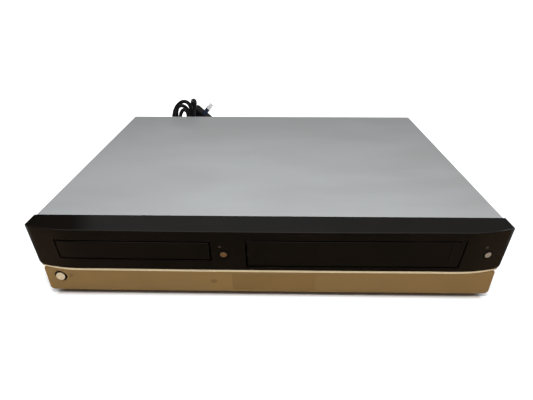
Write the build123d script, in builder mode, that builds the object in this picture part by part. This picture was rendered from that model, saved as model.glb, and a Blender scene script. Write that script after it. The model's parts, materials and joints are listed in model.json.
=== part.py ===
from build123d import *
import math
import os

os.makedirs("parts", exist_ok=True)

# Disc player and tape recorder in one case. Millimetres, X to the right seen
# from the front, Y to the back, Z up, origin on the floor under the middle.
# ---------------------------------------------------------------- dimensions
WIDTH = 430.0            # moulded front, end to end
HEIGHT = 82.0            # floor to the top sheet
COVER_X = 213.5          # half width of the sheet metal cover
COVER_Y0 = -147.0        # front edge of the cover
COVER_Y1 = 163.0         # rear edge of the cover
SHEET = 1.0              # steel sheet
FLOOR_Z = 5.2            # underside of the chassis, top of the feet
STRIP_Z = 81.7           # flat top strip of the moulded front
BLACK_Z = 35.0           # lower edge of the black face
TRIM_Z = 33.0            # lower edge of the bright strip
FLAP_TOP = 32.6
WALL = 2.5               # moulded front wall
FLAP_T = 2.2             # flap thickness
HINGE_Y, HINGE_Z = -154.5, 8.5
DVD_X0, DVD_X1, DVD_Z0, DVD_Z1 = -187.9, -51.5, 48.8, 68.5
VHS_X0, VHS_X1, VHS_Z0, VHS_Z1 = -17.7, 172.1, 41.4, 70.7
GAP = 1.6
DOOR_Y, DOOR_Z = -170.0, 70.2      # pivot of the cassette door
DISC_X, DISC_Y = -118.3, -96.0     # spindle axis
DECK_X = 76.8                      # middle of the tape deck
CORD_D = 5.6

# plan outlines of the front: half shapes, y measured from the cover's edge
XS = [0, 60, 126, 161, 182, 192, 200, 206, 211, 215]
TOP_Y = [-28.0, -27.85, -27.2, -26.8, -26.3, -24.8, -22.9, -21.2, -19.5, -17.2]
BOT_Y = [-18.9, -18.9, -18.6, -18.5, -18.2, -17.1, -15.5, -14.1, -12.6, -11.0]
FX = [0, 60, 126, 161, 182, 192, 200, 206, 211]
FTOP_Y = [-18.6, -18.6, -18.4, -18.3, -18.0, -17.0, -15.6, -14.7, -13.7]
FBOT_Y = [-12.6, -12.6, -12.55, -12.5, -12.4, -12.3, -12.2, -12.1, -12.0]


def block(x0, x1, y0, y1, z0, z1, mode=Mode.ADD):
    with Locations(((x0 + x1) / 2, (y0 + y1) / 2, (z0 + z1) / 2)):
        Box(x1 - x0, y1 - y0, z1 - z0, mode=mode)


def rod(p, r, length, axis="z", mode=Mode.ADD):
    turn = {"z": (0, 0, 0), "x": (0, 90, 0), "y": (-90, 0, 0)}[axis]
    with Locations(Location(p, turn)):
        Cylinder(r, length, align=(Align.CENTER, Align.CENTER, Align.MIN), mode=mode)


def save(builder, name):
    builder.part.label = name
    export_step(builder.part, "parts/" + name + ".step")


def outline(xs, ys, z, inset=0.0, push=0.0, back=COVER_Y0):
    """Closed plan outline: bowed front, straight ends and back."""
    s = (xs[-1] - inset) / xs[-1]
    half = [(x * s, COVER_Y0 + y + inset + push) for x, y in zip(xs, ys)]
    pts = [(-x, y) for x, y in reversed(half[1:])] + half
    with BuildSketch(Plane.XY.offset(z)) as sk:
        with BuildLine():
            Spline(*pts)
            Polyline(pts[-1], (pts[-1][0], back), (pts[0][0], back), pts[0])
        make_face()
    return sk.sketch


def mix(a, b, t):
    return [p + (q - p) * t for p, q in zip(a, b)]


def level(z):
    """Front outline of the black face at height z, straight between its edges."""
    return mix(BOT_Y, TOP_Y, (z - BLACK_Z) / (STRIP_Z - BLACK_Z))


# solid with the outside shape of the black front, softly broken top edge
with BuildPart() as front_block:
    loft([outline(XS, TOP_Y, STRIP_Z, inset=0.8),
          outline(XS, TOP_Y, STRIP_Z - 0.22, inset=0.28),
          outline(XS, level(STRIP_Z - 0.8), STRIP_Z - 0.8),
          outline(XS, BOT_Y, BLACK_Z)], ruled=True)
    with BuildSketch(Plane.XZ) as s:
        with Locations((0, (BLACK_Z + STRIP_Z) / 2)):
            Rectangle(WIDTH, STRIP_Z - BLACK_Z)
        fillet(s.vertices().group_by(Axis.Y)[0], 4.0)
    extrude(amount=300, both=True, mode=Mode.INTERSECT)

# the same shape one wall further in, for hollowing
with BuildPart() as front_core:
    loft([outline(XS, level(STRIP_Z - WALL), STRIP_Z - WALL, inset=WALL, back=COVER_Y0 + 3),
          outline(XS, level(BLACK_Z + WALL), BLACK_Z + WALL, inset=WALL, back=COVER_Y0 + 3)],
         ruled=True)

with BuildPart() as door_core:
    loft([outline(XS, level(STRIP_Z), STRIP_Z + 1, push=WALL, back=COVER_Y0 + 3),
          outline(XS, BOT_Y, BLACK_Z - 1, push=WALL, back=COVER_Y0 + 3)], ruled=True)

# ---------------------------------------------------------------- black front
DVD_EJECT = (-39.0, 55.0)
VHS_EJECT = (196.4, 55.1)
with BuildPart() as front_fascia:
    add(front_block.part)
    add(front_core.part, mode=Mode.SUBTRACT)
    # tray opening, cassette opening, two round button holes
    block(DVD_X0 - GAP, DVD_X1 + GAP, -190, -150, DVD_Z0 - GAP, DVD_Z1 + GAP, Mode.SUBTRACT)
    block(VHS_X0 - GAP, VHS_X1 + GAP, -190, -150, VHS_Z0 - GAP, VHS_Z1 + GAP, Mode.SUBTRACT)
    # short guide tubes behind the button holes
    for bx, bz in (DVD_EJECT, VHS_EJECT):
        rod((bx, -168 if bx < 0 else -165.5, bz), 5.6, 5.5, "y")
    # bosses beside the cassette opening carry the door's pivots
    block(VHS_X0 - 6.5, VHS_X0 - GAP, DOOR_Y - 1.8, DOOR_Y + 2.2, DOOR_Z - 2.6, STRIP_Z - WALL + 0.3)
    block(VHS_X1 + GAP, VHS_X1 + 6.5, DOOR_Y - 1.8, DOOR_Y + 2.2, DOOR_Z - 2.6, STRIP_Z - WALL + 0.3)
    # stiffening ribs between the two openings and at the ends
    block(-31.5, -29.5, -168.5, -149, BLACK_Z + 2, STRIP_Z - 2)
    block(-205.5, -203.5, -160, -149, BLACK_Z + 2, STRIP_Z - 2)
    block(203.5, 205.5, -160, -149, BLACK_Z + 2, STRIP_Z - 2)
    for bx, bz in (DVD_EJECT, VHS_EJECT):
        rod((bx, -190, bz), 4.45, 40, "y", Mode.SUBTRACT)
    rod((VHS_X0 - 5.0, DOOR_Y, DOOR_Z), 1.08, VHS_X1 - VHS_X0 + 10.0, "x", Mode.SUBTRACT)
    add(front_block.part, mode=Mode.INTERSECT)
save(front_fascia, "front_fascia")

# tray front: a flush slice of the same slanted face
with BuildPart() as tray_front:
    add(front_block.part)
    add(door_core.part, mode=Mode.SUBTRACT)
    block(DVD_X0, DVD_X1, -190, -140, DVD_Z0, DVD_Z1, Mode.INTERSECT)
    chamfer(tray_front.faces().sort_by(Axis.Y)[0].edges(), 0.35)
    # moulded hooks that clip on the tray's front edge
    for hx, hy in ((-170, -168.0), (-66, -168.8)):
        block(hx - 8, hx + 8, hy, -165.6, 55.2, 58.8)
save(tray_front, "tray_front")

# cassette door with its two pivot pins and a fine upright groove near its end
with BuildPart() as cassette_door:
    add(front_block.part)
    add(door_core.part, mode=Mode.SUBTRACT)
    block(VHS_X0, VHS_X1, -190, -140, VHS_Z0, VHS_Z1, Mode.INTERSECT)
    chamfer(cassette_door.faces().sort_by(Axis.Y)[0].edges(), 0.35)
    with Locations(Location((161.4, -169.57, 57.9), (10.1, 0, 0))):
        Box(0.7, 1.1, 18.0, mode=Mode.SUBTRACT)
    for x0, x1 in ((VHS_X0, VHS_X0 + 3), (VHS_X1 - 3, VHS_X1)):
        with BuildSketch(Plane.YZ.offset(x0)):
            with Locations((DOOR_Y, DOOR_Z)):
                Circle(1.45)
            with Locations((DOOR_Y - 1.0, DOOR_Z - 0.9)):
                Rectangle(2.0, 2.2)
        extrude(amount=x1 - x0)
    rod((VHS_X0 - 4.6, DOOR_Y, DOOR_Z), 1.0, 4.8, "x")
    rod((VHS_X1 - 0.2, DOOR_Y, DOOR_Z), 1.0, 4.8, "x")
save(cassette_door, "cassette_door")

# return spring of the door: a small wound wire on the left pivot with two legs
with BuildPart() as door_spring:
    rod((VHS_X0 + 4.0, DOOR_Y + 2.6, DOOR_Z + 5.0), 2.0, 6.0, "x")
    rod((VHS_X0 + 3.9, DOOR_Y + 2.6, DOOR_Z + 5.0), 1.4, 6.2, "x", Mode.SUBTRACT)
    block(VHS_X0 + 4.2, VHS_X0 + 4.8, DOOR_Y + 2.3, DOOR_Y + 2.9, DOOR_Z + 6.6, STRIP_Z - WALL)
    block(VHS_X0 + 9.2, VHS_X0 + 9.8, DOOR_Y + 4.2, DOOR_Y + 16.0, DOOR_Z + 4.8, DOOR_Z + 5.4)
save(door_spring, "door_spring")

# bright strip under the black face
with BuildPart() as strip_core:
    loft([outline(XS, BOT_Y, BLACK_Z + 1, inset=1.6, push=2.4, back=COVER_Y0 + 5),
          outline(XS, BOT_Y, TRIM_Z - 1, inset=1.6, push=2.4, back=COVER_Y0 + 5)], ruled=True)
with BuildPart() as trim_strip:
    loft([outline(XS, BOT_Y, BLACK_Z, inset=1.6, push=-1.9),
          outline(XS, BOT_Y, TRIM_Z, inset=1.6, push=-1.8)], ruled=True)
    add(strip_core.part, mode=Mode.SUBTRACT)
save(trim_strip, "trim_strip")

# ---------------------------------------------------------------- lower flap
POWER = (-196.1, 23.6)
with BuildPart() as flap_block:
    loft([outline(FX, FTOP_Y, FLAP_TOP), outline(FX, FBOT_Y, FLOOR_Z)], ruled=True)
with BuildPart() as flap_core:
    loft([outline(FX, [2 * a - b for a, b in zip(FTOP_Y, mix(FTOP_Y, FBOT_Y, 1 / 27.4))],
                  FLAP_TOP + 1, push=FLAP_T, back=COVER_Y0 + 5),
          outline(FX, [2 * a - b for a, b in zip(FBOT_Y, mix(FBOT_Y, FTOP_Y, 1 / 27.4))],
                  FLOOR_Z - 1, push=FLAP_T, back=COVER_Y0 + 5)], ruled=True)
with BuildPart() as flap_skin:
    add(flap_block.part)
    add(flap_core.part, mode=Mode.SUBTRACT)
    with BuildSketch(Plane.XZ) as s:
        with Locations((0, (FLOOR_Z + FLAP_TOP) / 2)):
            Rectangle(422, FLAP_TOP - FLOOR_Z)
        fillet(s.vertices().group_by(Axis.Y)[0], 4.0)
        fillet(s.vertices().group_by(Axis.Y)[-1], 1.2)
    extrude(amount=300, both=True, mode=Mode.INTERSECT)

WIN_X0, WIN_X1 = -33.0, 45.0
SENSOR = (-50.5, 19.5)
with BuildPart() as lower_flap:
    add(flap_skin.part)
    block(WIN_X0, WIN_X1, -175, -150, 7.6, 30.4, Mode.SUBTRACT)
    rod((POWER[0], -175, POWER[1]), 6.15, 30, "y", Mode.SUBTRACT)
    # cheeks with the hinge pins
    for x0, x1, px in ((-204.8, -202.0, -207.8), (202.0, 204.8, 204.6)):
        with BuildSketch(Plane.YZ.offset(x0)):
            with BuildLine():
                Polyline((-158.6, 6.4), (HINGE_Y, HINGE_Z - 1.8), (HINGE_Y + 1.4, HINGE_Z),
                         (HINGE_Y, HINGE_Z + 2.0), (-158.9, 13.5), (-158.6, 6.4))
            make_face()
        extrude(amount=x1 - x0)
        rod((px, HINGE_Y, HINGE_Z), 1.0, 3.2, "x")
    # thumb lip along the middle of the top edge, behind the skin
    block(-30, 30, -163.6, -161.2, 31.2, 32.2)
save(lower_flap, "lower_flap")

with BuildPart() as display_window:
    add(flap_skin.part)
    block(WIN_X0, WIN_X1, -175, -150, 7.6, 30.4, Mode.INTERSECT)
save(display_window, "display_window")

# cup in the flap that guides the power button, and the button itself
FACE_Y = COVER_Y0 - 13.9
with BuildPart() as power_cup:
    rod((POWER[0], FACE_Y + 0.2, POWER[1]), 6.1, 4.4, "y")
    rod((POWER[0], FACE_Y, POWER[1]), 5.6, 3.4, "y", Mode.SUBTRACT)
    rod((POWER[0], FACE_Y, POWER[1]), 3.3, 10, "y", Mode.SUBTRACT)
save(power_cup, "power_cup")

with BuildPart() as power_button:
    rod((POWER[0], FACE_Y - 2.3, POWER[1]), 4.6, 4.3, "y")
    rod((POWER[0], FACE_Y, POWER[1]), 3.2, 6.0, "y")
    fillet(power_button.faces().sort_by(Axis.Y)[0].edges(), 0.7)
    rod((POWER[0], FACE_Y + 5.0, POWER[1]), 3.9, 1.0, "y")
save(power_button, "power_button")

# ---------------------------------------------------------------- eject buttons
for name, (bx, bz), y0, rr in (("dvd_eject_button", DVD_EJECT, -172.8, 3.5),
                               ("vcr_eject_button", VHS_EJECT, -169.6, 3.5)):
    with BuildPart() as cap:
        # the cap's end follows the slanted face and stands a little proud of it
        rod((bx, y0 - 4.0, bz), rr, 9.2, "y")
        add(front_block.part.moved(Location((0, -0.6, 0))), mode=Mode.INTERSECT)
        chamfer(cap.faces().sort_by(Axis.Y)[0].edges(), 0.45)
        rod((bx, y0 + 5.2, bz), 4.38, 6.0, "y")
        rod((bx, y0 + 11.0, bz), 1.6, 5.6, "y")
    save(cap, name)

# switch board behind the eject buttons, one strip across the front
with BuildPart() as switch_board:
    block(-45.5, -32.2, -151.4, -149.8, 46.5, 64.5)
    block(186, 201, -147.8, -146.2, 49, 67)
    for bx, bz, y in ((DVD_EJECT[0], DVD_EJECT[1], -151.4), (VHS_EJECT[0], VHS_EJECT[1], -147.8)):
        block(bx - 3, bx + 3, y - 3.2, y, bz - 3, bz + 3)
save(switch_board, "switch_boards")

# ---------------------------------------------------------------- control deck
DECK_Y = -151.5
KEYS = [("rewind_button", 72.0), ("play_button", 92.0), ("forward_button", 112.0),
        ("stop_button", 132.0), ("record_button", 152.0)]
JACKS = (-176.0, -162.0, -148.0, -132.0)
KEY_W, KEY_H, KEY_Z = 13.0, 5.0, 20.0
with BuildPart() as shelf:
    loft([outline(XS, BOT_Y, BLACK_Z, inset=4.2, push=-0.1),
          outline(XS, BOT_Y, TRIM_Z, inset=4.2, push=-0.1)], ruled=True)
with BuildPart() as control_deck:
    add(shelf.part)
    block(-208.8, 208.8, DECK_Y, DECK_Y + 2.0, 9.0, TRIM_Z)
    block(-210.8, -208.8, -155.0, COVER_Y0, 9.0, TRIM_Z)
    block(208.8, 210.8, -155.0, COVER_Y0, 9.0, TRIM_Z)
    block(-210.8, 210.8, -150.5, COVER_Y0, FLOOR_Z, 9.2)
    for x0, x1 in ((-207.8, -205.2), (205.2, 207.8)):
        block(x0, x1, HINGE_Y, DECK_Y + 0.5, HINGE_Z - 1.9, HINGE_Z + 1.9)
        rod((x0, HINGE_Y, HINGE_Z), 1.9, x1 - x0, "x")
        rod((x0 - 0.1, HINGE_Y, HINGE_Z), 1.08, x1 - x0 + 0.2, "x", Mode.SUBTRACT)
    block(-31.5, 43.5, -160, -140, 10.8, 28.2, Mode.SUBTRACT)
    for n, x in KEYS:
        block(x - KEY_W / 2, x + KEY_W / 2, -160, -140, KEY_Z - KEY_H / 2, KEY_Z + KEY_H / 2, Mode.SUBTRACT)
    for x in JACKS:
        rod((x, -160, KEY_Z), 5.2, 20, "y", Mode.SUBTRACT)
    rod((POWER[0], -160, POWER[1]), 4.6, 20, "y", Mode.SUBTRACT)
    rod((SENSOR[0], -160, SENSOR[1]), 3.1, 20, "y", Mode.SUBTRACT)
    # snap bump that holds the flap shut
    block(-8, 8, -161.0, -158.6, 32.4, TRIM_Z + 0.2)
save(control_deck, "control_deck")

for n, x in KEYS:
    with BuildPart() as key:
        block(x - KEY_W / 2 + 0.15, x + KEY_W / 2 - 0.15, DECK_Y - 1.7, DECK_Y + 3.0,
              KEY_Z - KEY_H / 2 + 0.15, KEY_Z + KEY_H / 2 - 0.15)
        fillet(key.edges().filter_by(Axis.Y), 1.2)
        fillet(key.faces().sort_by(Axis.Y)[0].edges(), 0.5)
        block(x - KEY_W / 2 - 0.6, x + KEY_W / 2 + 0.6, DECK_Y + 2.2, DECK_Y + 3.0,
              KEY_Z - KEY_H / 2 - 0.6, KEY_Z + KEY_H / 2 + 0.6)
        rod((x, DECK_Y + 3.0, KEY_Z), 1.4, 1.5, "y")
    save(key, n)

with BuildPart() as av_input_jacks:
    for x in JACKS[:3]:
        rod((x, -156.6, KEY_Z), 4.15, 12.0, "y")
        rod((x, -157.6, KEY_Z), 3.2, 10.0, "y", Mode.SUBTRACT)
        rod((x, -155.6, KEY_Z), 2.3, 9.5, "y")
        rod((x, -157.6, KEY_Z), 1.6, 9.5, "y", Mode.SUBTRACT)
        rod((x, -149.4, KEY_Z), 5.9, 2.0, "y")
    rod((JACKS[3], -153.6, KEY_Z), 5.0, 9.0, "y")
    rod((JACKS[3], -154.6, KEY_Z), 4.3, 6.0, "y", Mode.SUBTRACT)
    rod((JACKS[3], -149.4, KEY_Z), 5.9, 2.0, "y")
save(av_input_jacks, "av_input_jacks")

with BuildPart() as display_module:
    block(-31.0, 43.0, -152.6, -144.7, 11.3, 27.7)
    chamfer(display_module.faces().sort_by(Axis.Y)[0].edges(), 0.6)
save(display_module, "display_module")

with BuildPart() as front_board:
    block(-205, 205, -144.6, -143.0, 9.5, 32.0)
    for n, x in KEYS + [("", POWER[0])]:
        z = POWER[1] if n == "" else KEY_Z
        block(x - 3, x + 3, -145.9 if n else -153.2, -144.6, z - 3, z + 3)
    # infrared receiver, a small dome on the board
    rod((SENSOR[0], -151.4, SENSOR[1]), 2.9, 6.9, "y")
    fillet(front_board.faces().sort_by(Axis.Y)[0].edges(), 1.6)
save(front_board, "front_board")

# ---------------------------------------------------------------- body
with BuildPart() as bottom_chassis:
    block(-212.3, 212.3, -146.4, 162.4, FLOOR_Z, FLOOR_Z + SHEET)
    block(-212.3, -211.3, -146.4, 160.8, FLOOR_Z, 36.0)
    block(211.3, 212.3, -146.4, 160.8, FLOOR_Z, 36.0)
    fillet(bottom_chassis.edges().filter_by(Axis.Y).group_by(Axis.Z)[0], 0.9)
    # air slots under the power supply
    with BuildSketch(Plane.XY.offset(FLOOR_Z - 1)):
        with Locations((-140, 85)):
            with GridLocations(26, 9, 4, 9):
                SlotOverall(20, 3.2)
    extrude(amount=3, mode=Mode.SUBTRACT)
    # pressed standoffs for the boards
    for x, y in ((-198, 24), (-66, 24), (-198, 144), (-66, 140), (-12, 66), (198, 66),
                 (-12, 138), (160, 138), (90, 66)):
        rod((x, y, FLOOR_Z + SHEET), 3.5, 5.8, "z")
    for y in (-100.0, 110.0):
        rod((-214, y, 26.0), 1.55, 428, "x", Mode.SUBTRACT)
save(bottom_chassis, "bottom_chassis")

with BuildPart() as top_cover:
    block(-COVER_X, COVER_X, COVER_Y0, COVER_Y1, 6.4, HEIGHT)
    fillet(top_cover.edges().filter_by(Axis.Y).group_by(Axis.Z)[-1], 2.6)
    with BuildPart(mode=Mode.PRIVATE) as hollow:
        block(-COVER_X + SHEET, COVER_X - SHEET, COVER_Y0 - 1, COVER_Y1 - SHEET, 5.0, HEIGHT - SHEET)
        fillet(hollow.edges().filter_by(Axis.Y).group_by(Axis.Z)[-1], 1.6)
    add(hollow.part, mode=Mode.SUBTRACT)
    # the rear stays open below a turned-down lip
    block(-COVER_X + SHEET, COVER_X - SHEET, COVER_Y1 - 2, COVER_Y1 + 1, 5.0, 74.0, Mode.SUBTRACT)
    # rolled front edge of the top sheet
    fillet(top_cover.edges().filter_by(Axis.X).group_by(Axis.Z)[-1].sort_by(Axis.Y)[0], 0.9)
    # upright air slots in both sides
    with BuildSketch(Plane.YZ.offset(-COVER_X - 1)):
        for cy in (-20.0, 95.0):
            with Locations((cy, 44)):
                with GridLocations(6.5, 1, 11, 1):
                    SlotOverall(26, 2.6, rotation=90)
    extrude(amount=2 * COVER_X + 2, mode=Mode.SUBTRACT)
    for y in (-100.0, 110.0):
        rod((-COVER_X - 1, y, 26.0), 1.7, 2 * COVER_X + 2, "x", Mode.SUBTRACT)
    for x in (-150.0, 0.0, 150.0):
        rod((x, 158, 77.4), 1.7, 8, "y", Mode.SUBTRACT)
save(top_cover, "top_cover")

with BuildPart() as cover_screws:
    for y in (-100.0, 110.0):
        for sx in (-1, 1):
            rod((sx * COVER_X if sx > 0 else -COVER_X - 1.3, y, 26.0), 3.6, 1.3, "x")
            rod((208.0 if sx > 0 else -COVER_X - 0.1, y, 26.0), 1.5, COVER_X - 208.0 + 0.1, "x")
            with Locations(Location((sx * (COVER_X + 1.3), y, 26.0), (0, 90, 0))):
                Box(0.9, 4.4, 1.4, mode=Mode.SUBTRACT)
                Box(4.4, 0.9, 1.4, mode=Mode.SUBTRACT)
    for x in (-150.0, 0.0, 150.0):
        rod((x, COVER_Y1, 77.4), 3.6, 1.3, "y")
        rod((x, 157.0, 77.4), 1.5, COVER_Y1 - 157.0 + 0.1, "y")
        with Locations((x, COVER_Y1 + 1.3, 77.4)):
            Box(4.4, 1.4, 0.9, mode=Mode.SUBTRACT)
            Box(0.9, 1.4, 4.4, mode=Mode.SUBTRACT)
save(cover_screws, "cover_screws")

RCA = [(x, z) for x in (62.0, 78.0, 94.0, 110.0) for z in (34.0, 54.0)]
SVIDEO, OPTICAL = (132.0, 54.0), (132.0, 34.0)
SCART = [(0.0, 56.0), (0.0, 30.0)]
RF = [(185.0, 56.0), (185.0, 32.0)]
FAN = (-75.0, 44.0)
EXIT = (-188.0, 18.0)
PANEL_Y = 161.0
with BuildPart() as rear_panel:
    block(-212.2, 212.2, PANEL_Y, PANEL_Y + SHEET, 6.3, 80.8)
    fillet(rear_panel.edges().filter_by(Axis.Y).group_by(Axis.Z)[-1], 2.0)
    # fan grille: rings of short slots
    with BuildSketch(Plane.XZ.offset(-PANEL_Y + 1)):
        with Locations(FAN):
            for r, n in ((16.0, 10), (11.0, 7), (6.0, 4)):
                with PolarLocations(r, n):
                    SlotOverall(7.2, 2.6, rotation=90)
        with Locations((-128, 44)):
            with GridLocations(6.5, 1, 8, 1):
                SlotOverall(30, 2.6, rotation=90)
        with Locations(*SCART):
            Rectangle(49, 17)
        with Locations(*RCA):
            Circle(5.1)
        with Locations(SVIDEO):
            Circle(5.6)
        with Locations(OPTICAL):
            Rectangle(9.6, 9.6)
        with Locations(*RF):
            Circle(5.2)
        with Locations(EXIT):
            Circle(4.7)
    extrude(amount=-4, mode=Mode.SUBTRACT)
    for x in (-150.0, 0.0, 150.0):
        rod((x, 158, 77.4), 1.55, 8, "y", Mode.SUBTRACT)
save(rear_panel, "rear_panel")

FEET = ((-165, -118), (165, -118), (-165, 125), (165, 125))
with BuildPart() as feet:
    for x, y in FEET:
        with BuildSketch(Plane.XY.offset(0.9)):
            with Locations((x, y)):
                Circle(17.0)
        extrude(amount=FLOOR_Z - 0.9, taper=8)
    for x, y in FEET:
        rod((x, y, 0.0), 13.2, 1.9, "z", Mode.SUBTRACT)
save(feet, "feet")

with BuildPart() as foot_pads:
    for x, y in FEET:
        rod((x, y, 0.0), 13.0, 1.9, "z")
    fillet(foot_pads.edges().filter_by(GeomType.CIRCLE).group_by(Axis.Z)[0], 0.4)
save(foot_pads, "foot_pads")

# ---------------------------------------------------------------- disc drive
TRAY_X0, TRAY_X1, TRAY_Z0, TRAY_Z1 = -184.6, -52.0, 54.6, 60.6
with BuildPart() as loader_frame:
    block(-188.5, -48.1, -158, 8, 43, 45)
    for x0, x1 in ((-188.5, -185.5), (-51.1, -48.1)):
        block(x0, x1, -158, 8, 43, 66)
    block(-188.5, -48.1, 5.5, 8, 43, 66)
    block(-185.6, -182.2, -158, 6, 51.6, 54.2)
    block(-54.4, -51.0, -158, 6, 51.6, 54.2)
    block(-185.6, -183.4, -150, -30, 61.0, 63.0)
    block(-53.2, -51.0, -150, -30, 61.0, 63.0)
    block(-144.0, -92.6, -117, -11, 40, 46, Mode.SUBTRACT)
    # four legs to the chassis
    for x in (-188.5, -54.1):
        for y in (-140.0, -2.0):
            block(x, x + 6, y, y + 8, FLOOR_Z + SHEET, 43.1)
save(loader_frame, "loader_frame")

with BuildPart() as disc_tray:
    block(TRAY_X0, TRAY_X1, -165.6, 2.0, TRAY_Z0, TRAY_Z1)
    fillet(disc_tray.edges().filter_by(Axis.Z).group_by(Axis.Y)[-1], 3.0)
    # wells for the two sizes of disc
    rod((DISC_X, DISC_Y, TRAY_Z1 - 2.0), 61.5, 4.0, "z", Mode.SUBTRACT)
    rod((DISC_X, DISC_Y, TRAY_Z1 - 3.4), 41.5, 4.0, "z", Mode.SUBTRACT)
    # slot for the turntable and the pickup, open at the back
    rod((DISC_X, DISC_Y, TRAY_Z0 - 1), 22.0, 10, "z", Mode.SUBTRACT)
    block(DISC_X - 22.0, DISC_X + 22.0, DISC_Y, 5, TRAY_Z0 - 1, TRAY_Z1 + 1, Mode.SUBTRACT)
    # toothed rack under the left side
    block(-176.6, -174.0, -160, -4, 52.4, TRAY_Z0 + 0.1)
    with Locations((-173.85, -82, 53.4)):
        with GridLocations(1, 3.0, 1, 51):
            Box(0.9, 1.3, 2.0)
    # slots for the front's hooks
    for hx in (-170, -66):
        block(hx - 8.1, hx + 8.1, -165.7, -165.5, 55.1, 58.9, Mode.SUBTRACT)
save(disc_tray, "disc_tray")

GEAR = (-165.4, -135.0)
with BuildPart() as tray_drive_gear:
    rod((GEAR[0], GEAR[1], 50.4), 6.6, 3.6, "z")
    with Locations((GEAR[0], GEAR[1], 52.2)):
        with PolarLocations(7.1, 14):
            Box(1.4, 1.4, 3.6)
    rod((GEAR[0], GEAR[1], 46.2), 9.5, 3.4, "z")
    rod((GEAR[0], GEAR[1], 45.2), 2.4, 6.0, "z")
    rod((GEAR[0], GEAR[1], 44.0), 1.3, 12, "z", Mode.SUBTRACT)
save(tray_drive_gear, "tray_drive_gear")

ROD_X = (DISC_X - 18.5, DISC_X + 18.5)
with BuildPart() as traverse_chassis:
    block(-142.6, -94.0, -115.5, -12.5, 46.0, 48.0)
    block(-133.6, -103.0, -82.2, -20.0, 45, 49, Mode.SUBTRACT)
    rod((DISC_X, DISC_Y, 44.5), 12.0, 5.0, "z")
    rod((DISC_X, DISC_Y, 44.0), 1.55, 7, "z", Mode.SUBTRACT)
    for y0 in (-86.0, -18.0):
        for x in ROD_X:
            block(x - 2.2, x + 2.2, y0, y0 + 3.0, 47.9, 52.2)
            rod((x, y0 - 0.5, 50.2), 1.5, 4.0, "y", Mode.SUBTRACT)
save(traverse_chassis, "traverse_chassis")

with BuildPart() as pickup_rods:
    for x in ROD_X:
        rod((x, -87.0, 50.2), 1.5, 73.0, "y")
save(pickup_rods, "pickup_rods")

with BuildPart() as disc_turntable:
    rod((DISC_X, DISC_Y, 45.0), 1.5, 6.0, "z")
    rod((DISC_X, DISC_Y, 50.0), 15.0, 2.4, "z")
    rod((DISC_X, DISC_Y, 52.3), 7.4, 1.9, "z")
    chamfer(disc_turntable.faces().sort_by(Axis.Z)[-1].edges(), 0.9)
save(disc_turntable, "disc_turntable")

with BuildPart() as optical_pickup:
    block(DISC_X - 14.4, DISC_X + 14.4, -80.4, -56.0, 46.6, 52.0)
    block(DISC_X - 20.8, DISC_X - 14.2, -78.0, -60.0, 48.3, 52.1)
    block(DISC_X + 14.2, DISC_X + 20.8, -74.0, -64.0, 48.3, 52.1)
    for x in ROD_X:
        rod((x, -82, 50.2), 1.56, 30, "y", Mode.SUBTRACT)
    rod((DISC_X, -71.0, 51.9), 4.6, 0.9, "z")
    rod((DISC_X, -71.0, 52.7), 2.6, 0.8, "z")
save(optical_pickup, "optical_pickup")

with BuildPart() as clamp_bridge:
    block(-188.5, -48.1, -118, -74, 66.0, 67.2)
    block(-188.5, -48.1, -118, -116.8, 67.1, 70.0)
    block(-188.5, -48.1, -75.2, -74, 67.1, 70.0)
    rod((DISC_X, DISC_Y, 65), 9.0, 4, "z", Mode.SUBTRACT)
save(clamp_bridge, "clamp_bridge")

with BuildPart() as clamp_puck:
    rod((DISC_X, DISC_Y, 62.6), 15.0, 3.0, "z")
    rod((DISC_X, DISC_Y, 65.5), 8.0, 2.2, "z")
    rod((DISC_X, DISC_Y, 67.5), 11.0, 1.4, "z")
    fillet(clamp_puck.faces().sort_by(Axis.Z)[0].edges(), 0.8)
save(clamp_puck, "clamp_puck")

# ---------------------------------------------------------------- tape deck
DL, DR = DECK_X - 100.8, DECK_X + 100.8      # outer faces of the side plates
with BuildPart() as deck_chassis:
    block(DL, DR, -138, 52, 15.0, 16.2)
    for x in (DL, DR - 6):
        for y in (-136.0, 44.0):
            block(x, x + 6, y, y + 6, FLOOR_Z + SHEET, 15.1)
    block(DL + 30, DR - 60, 44, 45.2, 16.1, 30)
    # holes for the capstan and the reel spindles
    rod((DECK_X + 66, -14, 14), 1.58, 4, "z", Mode.SUBTRACT)
    for sx in (-1, 1):
        rod((DECK_X + sx * 46, -84, 14), 1.58, 4, "z", Mode.SUBTRACT)
save(deck_chassis, "deck_chassis")

with BuildPart() as carriage_frame:
    for x0, x1 in ((DL, DL + 1.2), (DR - 1.2, DR)):
        block(x0, x1, -138, -24, 16.2, 76.5)
    block(DL, DR, -126, -110, 76.4, 77.6)
save(carriage_frame, "carriage_frame")

with BuildPart() as carriage_arms:
    for x0 in (DL + 1.7, DR - 2.7):
        block(x0, x0 + 1.0, -136, -80, 30.5, 66.0)
        block(x0, x0 + 1.0, -84, -80, 65.9, 75.4)
        for y in (-130.0, -86.0):
            block(x0 - 1, x0 + 2, y - 2.15, y + 2.15, 33.5, 62.2, Mode.SUBTRACT)
    block(DL + 1.7, DR - 1.7, -84, -80, 74.2, 75.4)
save(carriage_arms, "carriage_arms")

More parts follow.
